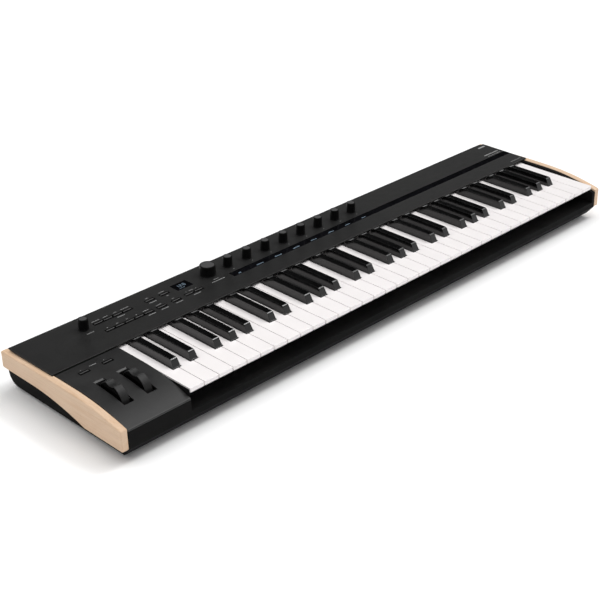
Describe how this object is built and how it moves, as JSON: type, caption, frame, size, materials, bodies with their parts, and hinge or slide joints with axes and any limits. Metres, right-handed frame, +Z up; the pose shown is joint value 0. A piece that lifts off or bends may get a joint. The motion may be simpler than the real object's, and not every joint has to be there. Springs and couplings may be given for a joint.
{
  "type": "synthesizer",
  "caption": "Slim keyboard synthesizer with piano-style keys, pitch and modulation wheels, a row of knobs over a long display strip, and pale wooden ends.",
  "frame": {"origin": "centre of the footprint, on the surface that the feet stand on", "axes": "+X from the bass end to the treble end, +Y from the player to the back, +Z up"},
  "size_m": [0.973, 0.253, 0.081],
  "materials": {
    "case_plastic": "satin moulded plastic with a very fine grain",
    "panel_metal": "fine satin powder coat",
    "pale_wood": "oiled pale maple",
    "white_key": "semi-gloss moulded plastic",
    "black_key": "gloss moulded plastic",
    "knob_rubber": "matt soft-touch plastic",
    "button_plastic": "matt plastic",
    "wheel_plastic": "matt plastic",
    "display_lens": "gloss black acrylic",
    "circuit_board": "green board",
    "sheet_steel": "zinc-plated sheet",
    "foot_rubber": "matt rubber"
  },
  "bodies": {
    "case": {"bottom_case": "case_plastic", "wheel_panel": "case_plastic", "left_wood_end": "pale_wood", "right_wood_end": "pale_wood", "control_panel": "panel_metal", "wheel_bracket": "sheet_steel", "keybed_frame": "sheet_steel", "main_display": "display_lens", "knob_display": "display_lens", "panel_board": "circuit_board", "main_board": "circuit_board", "contact_board": "circuit_board", "foot_front_left": "foot_rubber", "foot_rear_left": "foot_rubber", "foot_front_right": "foot_rubber", "foot_rear_right": "foot_rubber"},
    "white_comb_cegb_1": {"white_comb_cegb_1": "white_key"},
    "white_comb_cegb_2": {"white_comb_cegb_2": "white_key"},
    "white_comb_cegb_3": {"white_comb_cegb_3": "white_key"},
    "white_comb_cegb_4": {"white_comb_cegb_4": "white_key"},
    "white_comb_cegb_5": {"white_comb_cegb_5": "white_key"},
    "white_comb_dfa_1": {"white_comb_dfa_1": "white_key"},
    "white_comb_dfa_2": {"white_comb_dfa_2": "white_key"},
    "white_comb_dfa_3": {"white_comb_dfa_3": "white_key"},
    "white_comb_dfa_4": {"white_comb_dfa_4": "white_key"},
    "white_comb_dfa_5": {"white_comb_dfa_5": "white_key"},
    "black_comb_1": {"black_comb_1": "black_key"},
    "black_comb_2": {"black_comb_2": "black_key"},
    "black_comb_3": {"black_comb_3": "black_key"},
    "black_comb_4": {"black_comb_4": "black_key"},
    "black_comb_5": {"black_comb_5": "black_key"},
    "upper_button_1": {"upper_button_1": "button_plastic"},
    "upper_button_2": {"upper_button_2": "button_plastic"},
    "upper_button_3": {"upper_button_3": "button_plastic"},
    "upper_button_4": {"upper_button_4": "button_plastic"},
    "lower_button_1": {"lower_button_1": "button_plastic"},
    "lower_button_2": {"lower_button_2": "button_plastic"},
    "lower_button_3": {"lower_button_3": "button_plastic"},
    "lower_button_4": {"lower_button_4": "button_plastic"},
    "lower_button_5": {"lower_button_5": "button_plastic"},
    "edit_button_1": {"edit_button_1": "button_plastic"},
    "edit_button_2": {"edit_button_2": "button_plastic"},
    "cursor_button_1": {"cursor_button_1": "button_plastic"},
    "cursor_button_2": {"cursor_button_2": "button_plastic"},
    "page_button_1": {"page_button_1": "button_plastic"},
    "page_button_2": {"page_button_2": "button_plastic"},
    "octave_button_1": {"octave_button_1": "button_plastic"},
    "octave_button_2": {"octave_button_2": "button_plastic"},
    "volume_knob": {"volume_knob": "knob_rubber"},
    "value_encoder": {"value_encoder": "knob_rubber"},
    "knob_1": {"knob_1": "knob_rubber"},
    "knob_2": {"knob_2": "knob_rubber"},
    "knob_3": {"knob_3": "knob_rubber"},
    "knob_4": {"knob_4": "knob_rubber"},
    "knob_5": {"knob_5": "knob_rubber"},
    "knob_6": {"knob_6": "knob_rubber"},
    "knob_7": {"knob_7": "knob_rubber"},
    "knob_8": {"knob_8": "knob_rubber"},
    "pitch_wheel": {"pitch_wheel": "wheel_plastic"},
    "mod_wheel": {"mod_wheel": "wheel_plastic"}
  },
  "joints": [
    {"name": "press_cegb_1", "type": "hinge", "parent": "case", "child": "white_comb_cegb_1", "pos_m": [-0.2955, 0.068, 0.04225], "axis": [1, 0, 0], "range_deg": [0, 3], "stiffness_Nm_per_rad": 3, "springref_deg": -8.59},
    {"name": "press_dfa_1", "type": "hinge", "parent": "case", "child": "white_comb_dfa_1", "pos_m": [-0.2955, 0.068, 0.03775], "axis": [1, 0, 0], "range_deg": [0, 3], "stiffness_Nm_per_rad": 2.25, "springref_deg": -8.59},
    {"name": "press_black_1", "type": "hinge", "parent": "case", "child": "black_comb_1", "pos_m": [-0.2955, 0.068, 0.04675], "axis": [1, 0, 0], "range_deg": [0, 3.5], "stiffness_Nm_per_rad": 2.6, "springref_deg": -8.59},
    {"name": "press_cegb_2", "type": "hinge", "parent": "case", "child": "white_comb_cegb_2", "pos_m": [-0.131, 0.068, 0.04225], "axis": [1, 0, 0], "range_deg": [0, 3], "stiffness_Nm_per_rad": 3, "springref_deg": -8.59},
    {"name": "press_dfa_2", "type": "hinge", "parent": "case", "child": "white_comb_dfa_2", "pos_m": [-0.131, 0.068, 0.03775], "axis": [1, 0, 0], "range_deg": [0, 3], "stiffness_Nm_per_rad": 2.25, "springref_deg": -8.59},
    {"name": "press_black_2", "type": "hinge", "parent": "case", "child": "black_comb_2", "pos_m": [-0.131, 0.068, 0.04675], "axis": [1, 0, 0], "range_deg": [0, 3.5], "stiffness_Nm_per_rad": 2.6, "springref_deg": -8.59},
    {"name": "press_cegb_3", "type": "hinge", "parent": "case", "child": "white_comb_cegb_3", "pos_m": [0.0335, 0.068, 0.04225], "axis": [1, 0, 0], "range_deg": [0, 3], "stiffness_Nm_per_rad": 3, "springref_deg": -8.59},
    {"name": "press_dfa_3", "type": "hinge", "parent": "case", "child": "white_comb_dfa_3", "pos_m": [0.0335, 0.068, 0.03775], "axis": [1, 0, 0], "range_deg": [0, 3], "stiffness_Nm_per_rad": 2.25, "springref_deg": -8.59},
    {"name": "press_black_3", "type": "hinge", "parent": "case", "child": "black_comb_3", "pos_m": [0.0335, 0.068, 0.04675], "axis": [1, 0, 0], "range_deg": [0, 3.5], "stiffness_Nm_per_rad": 2.6, "springref_deg": -8.59},
    {"name": "press_cegb_4", "type": "hinge", "parent": "case", "child": "white_comb_cegb_4", "pos_m": [0.198, 0.068, 0.04225], "axis": [1, 0, 0], "range_deg": [0, 3], "stiffness_Nm_per_rad": 3, "springref_deg": -8.59},
    {"name": "press_dfa_4", "type": "hinge", "parent": "case", "child": "white_comb_dfa_4", "pos_m": [0.198, 0.068, 0.03775], "axis": [1, 0, 0], "range_deg": [0, 3], "stiffness_Nm_per_rad": 2.25, "springref_deg": -8.59},
    {"name": "press_black_4", "type": "hinge", "parent": "case", "child": "black_comb_4", "pos_m": [0.198, 0.068, 0.04675], "axis": [1, 0, 0], "range_deg": [0, 3.5], "stiffness_Nm_per_rad": 2.6, "springref_deg": -8.59},
    {"name": "press_cegb_5", "type": "hinge", "parent": "case", "child": "white_comb_cegb_5", "pos_m": [0.3625, 0.068, 0.04225], "axis": [1, 0, 0], "range_deg": [0, 3], "stiffness_Nm_per_rad": 3.75, "springref_deg": -8.59},
    {"name": "press_dfa_5", "type": "hinge", "parent": "case", "child": "white_comb_dfa_5", "pos_m": [0.3625, 0.068, 0.03775], "axis": [1, 0, 0], "range_deg": [0, 3], "stiffness_Nm_per_rad": 2.25, "springref_deg": -8.59},
    {"name": "press_black_5", "type": "hinge", "parent": "case", "child": "black_comb_5", "pos_m": [0.3625, 0.068, 0.04675], "axis": [1, 0, 0], "range_deg": [0, 3.5], "stiffness_Nm_per_rad": 2.6, "springref_deg": -8.59},
    {"name": "upper_button_1_travel", "type": "slide", "parent": "case", "child": "upper_button_1", "axis": [0, 0, -1], "range_m": [0, 0.0008], "stiffness_N_per_m": 500, "springref_m": -0.0015},
    {"name": "upper_button_2_travel", "type": "slide", "parent": "case", "child": "upper_button_2", "axis": [0, 0, -1], "range_m": [0, 0.0008], "stiffness_N_per_m": 500, "springref_m": -0.0015},
    {"name": "upper_button_3_travel", "type": "slide", "parent": "case", "child": "upper_button_3", "axis": [0, 0, -1], "range_m": [0, 0.0008], "stiffness_N_per_m": 500, "springref_m": -0.0015},
    {"name": "upper_button_4_travel", "type": "slide", "parent": "case", "child": "upper_button_4", "axis": [0, 0, -1], "range_m": [0, 0.0008], "stiffness_N_per_m": 500, "springref_m": -0.0015},
    {"name": "lower_button_1_travel", "type": "slide", "parent": "case", "child": "lower_button_1", "axis": [0, 0, -1], "range_m": [0, 0.0008], "stiffness_N_per_m": 500, "springref_m": -0.0015},
    {"name": "lower_button_2_travel", "type": "slide", "parent": "case", "child": "lower_button_2", "axis": [0, 0, -1], "range_m": [0, 0.0008], "stiffness_N_per_m": 500, "springref_m": -0.0015},
    {"name": "lower_button_3_travel", "type": "slide", "parent": "case", "child": "lower_button_3", "axis": [0, 0, -1], "range_m": [0, 0.0008], "stiffness_N_per_m": 500, "springref_m": -0.0015},
    {"name": "lower_button_4_travel", "type": "slide", "parent": "case", "child": "lower_button_4", "axis": [0, 0, -1], "range_m": [0, 0.0008], "stiffness_N_per_m": 500, "springref_m": -0.0015},
    {"name": "lower_button_5_travel", "type": "slide", "parent": "case", "child": "lower_button_5", "axis": [0, 0, -1], "range_m": [0, 0.0008], "stiffness_N_per_m": 500, "springref_m": -0.0015},
    {"name": "edit_button_1_travel", "type": "slide", "parent": "case", "child": "edit_button_1", "axis": [0, 0, -1], "range_m": [0, 0.0008], "stiffness_N_per_m": 500, "springref_m": -0.0015},
    {"name": "edit_button_2_travel", "type": "slide", "parent": "case", "child": "edit_button_2", "axis": [0, 0, -1], "range_m": [0, 0.0008], "stiffness_N_per_m": 500, "springref_m": -0.0015},
    {"name": "cursor_button_1_travel", "type": "slide", "parent": "case", "child": "cursor_button_1", "axis": [0, 0, -1], "range_m": [0, 0.0008], "stiffness_N_per_m": 500, "springref_m": -0.0015},
    {"name": "cursor_button_2_travel", "type": "slide", "parent": "case", "child": "cursor_button_2", "axis": [0, 0, -1], "range_m": [0, 0.0008], "stiffness_N_per_m": 500, "springref_m": -0.0015},
    {"name": "page_button_1_travel", "type": "slide", "parent": "case", "child": "page_button_1", "axis": [0, 0, -1], "range_m": [0, 0.0008], "stiffness_N_per_m": 500, "springref_m": -0.0015},
    {"name": "page_button_2_travel", "type": "slide", "parent": "case", "child": "page_button_2", "axis": [0, 0, -1], "range_m": [0, 0.0008], "stiffness_N_per_m": 500, "springref_m": -0.0015},
    {"name": "octave_button_1_travel", "type": "slide", "parent": "case", "child": "octave_button_1", "axis": [0, 0, -1], "range_m": [0, 0.0008], "stiffness_N_per_m": 500, "springref_m": -0.0015},
    {"name": "octave_button_2_travel", "type": "slide", "parent": "case", "child": "octave_button_2", "axis": [0, 0, -1], "range_m": [0, 0.0008], "stiffness_N_per_m": 500, "springref_m": -0.0015},
    {"name": "volume_knob_turn", "type": "hinge", "parent": "case", "child": "volume_knob", "pos_m": [-0.3839, 0.0824, 0.065], "axis": [0, 0, 1], "range_deg": [-150, 150]},
    {"name": "value_encoder_turn", "type": "hinge", "parent": "case", "child": "value_encoder", "pos_m": [-0.1697, 0.0834, 0.065], "axis": [0, 0, 1], "continuous": true},
    {"name": "knob_1_turn", "type": "hinge", "parent": "case", "child": "knob_1", "pos_m": [-0.1332, 0.0824, 0.065], "axis": [0, 0, 1], "continuous": true},
    {"name": "knob_2_turn", "type": "hinge", "parent": "case", "child": "knob_2", "pos_m": [-0.097, 0.0824, 0.065], "axis": [0, 0, 1], "continuous": true},
    {"name": "knob_3_turn", "type": "hinge", "parent": "case", "child": "knob_3", "pos_m": [-0.0608, 0.0824, 0.065], "axis": [0, 0, 1], "continuous": true},
    {"name": "knob_4_turn", "type": "hinge", "parent": "case", "child": "knob_4", "pos_m": [-0.0246, 0.0824, 0.065], "axis": [0, 0, 1], "continuous": true},
    {"name": "knob_5_turn", "type": "hinge", "parent": "case", "child": "knob_5", "pos_m": [0.0116, 0.0824, 0.065], "axis": [0, 0, 1], "continuous": true},
    {"name": "knob_6_turn", "type": "hinge", "parent": "case", "child": "knob_6", "pos_m": [0.0478, 0.0824, 0.065], "axis": [0, 0, 1], "continuous": true},
    {"name": "knob_7_turn", "type": "hinge", "parent": "case", "child": "knob_7", "pos_m": [0.084, 0.0824, 0.065], "axis": [0, 0, 1], "continuous": true},
    {"name": "knob_8_turn", "type": "hinge", "parent": "case", "child": "knob_8", "pos_m": [0.1202, 0.0824, 0.065], "axis": [0, 0, 1], "continuous": true},
    {"name": "pitch_wheel_roll", "type": "hinge", "parent": "case", "child": "pitch_wheel", "pos_m": [-0.4452, -0.0613, 0.0488], "axis": [1, 0, 0], "range_deg": [-35, 35], "stiffness_Nm_per_rad": 0.06},
    {"name": "mod_wheel_roll", "type": "hinge", "parent": "case", "child": "mod_wheel", "pos_m": [-0.4101, -0.0613, 0.0488], "axis": [1, 0, 0], "range_deg": [-35, 35]}
  ]
}
